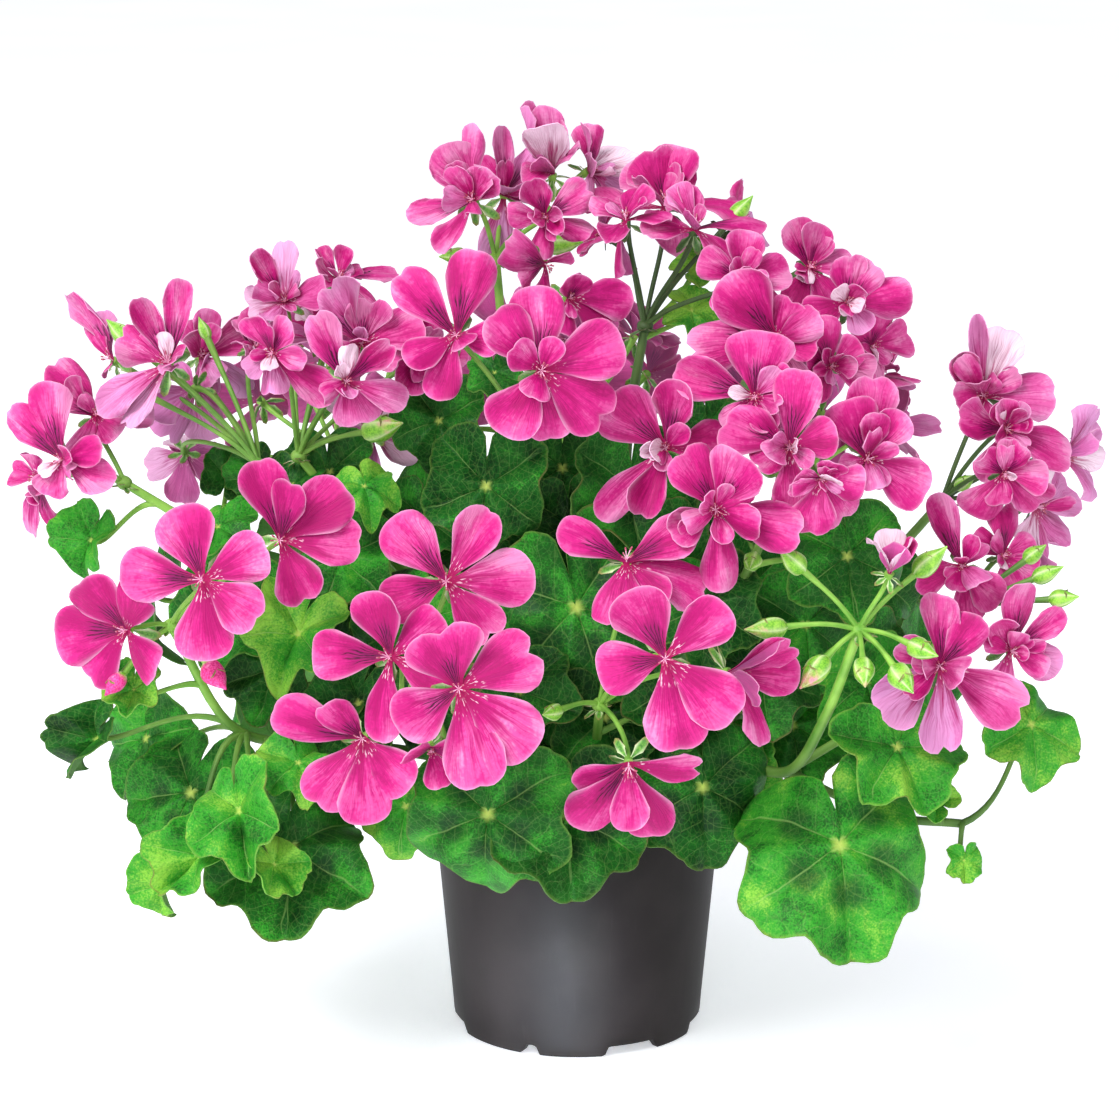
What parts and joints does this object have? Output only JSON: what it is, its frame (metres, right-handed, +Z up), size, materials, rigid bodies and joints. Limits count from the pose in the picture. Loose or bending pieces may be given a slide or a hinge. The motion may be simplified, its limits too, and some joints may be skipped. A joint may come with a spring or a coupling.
{
  "type": "potted ivy geranium",
  "caption": "Ivy geranium with pink umbels and shield-shaped lobed leaves, spreading over a black nursery pot.",
  "frame": {"origin": "middle of the pot's foot, on the surface that the pot stands on", "axes": "+Z up, -Y towards the front of the plant, +X to the right seen from the front"},
  "size_m": [0.4304, 0.3288, 0.3722],
  "materials": {
    "pot_plastic": "satin",
    "peat": "matte",
    "petal": "matte",
    "leaf": "satin",
    "bud": "satin"
  },
  "bodies": {
    "root": {"pot": "pot_plastic", "soil": "peat", "far_left_umbel": "petal", "upper_left_umbel": "petal", "left_centre_umbel": "petal", "top_umbel": "petal", "top_right_umbel": "petal", "centre_top_umbel": "petal", "right_upper_umbel": "petal", "right_middle_umbel": "petal", "far_right_umbel": "petal", "lower_right_umbel": "petal", "bud_umbel": "bud", "left_front_umbel": "petal", "centre_left_front_umbel": "petal", "centre_right_front_umbel": "petal", "back_left_umbel": "petal", "back_centre_umbel": "petal", "back_right_umbel": "petal", "far_left_shoot": "leaf", "left_front_shoot": "leaf", "centre_left_front_shoot": "leaf", "up_left_shoot": "leaf", "up_centre_shoot": "leaf", "centre_top_shoot": "leaf", "top_right_shoot": "leaf", "centre_right_front_shoot": "leaf", "right_middle_shoot": "leaf", "right_front_shoot": "leaf", "far_right_shoot": "leaf", "back_left_shoot": "leaf", "back_centre_shoot": "leaf", "back_right_shoot": "leaf"}
  },
  "joints": []
}
